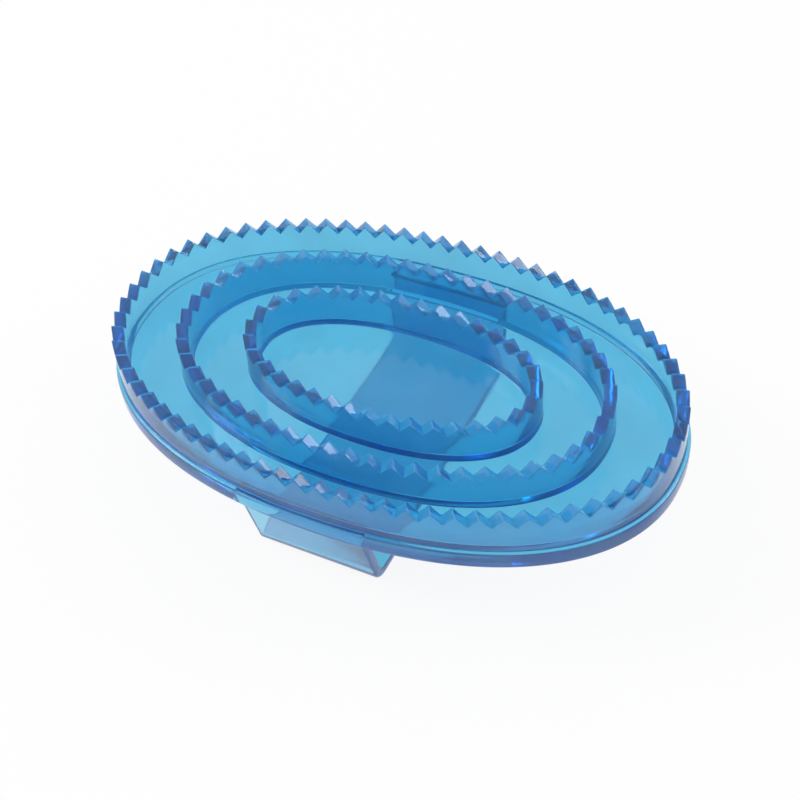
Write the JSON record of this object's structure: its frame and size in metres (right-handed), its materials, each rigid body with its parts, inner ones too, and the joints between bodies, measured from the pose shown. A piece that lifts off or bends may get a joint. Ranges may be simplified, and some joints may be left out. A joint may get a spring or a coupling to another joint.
{
  "type": "rubber curry brush",
  "caption": "Oval soft rubber curry brush with concentric toothed walls on a flat back and a hand strap under it.",
  "frame": {"origin": "under the centre of the plate, in the plane of the flat underside of the hand strap, which the brush rests on", "axes": "+X along the long axis, +Y along the hand strap, +Z from the strap through the plate towards the teeth"},
  "size_m": [0.165, 0.102, 0.0431],
  "materials": {
    "plate_rubber": "smooth translucent blue",
    "ring_rubber": "smooth translucent blue",
    "strap_rubber": "smooth translucent blue"
  },
  "bodies": {
    "root": {"back_plate": "plate_rubber", "outer_tooth_ring": "ring_rubber", "middle_tooth_ring": "ring_rubber", "inner_tooth_ring": "ring_rubber", "hand_strap": "strap_rubber"}
  },
  "joints": []
}
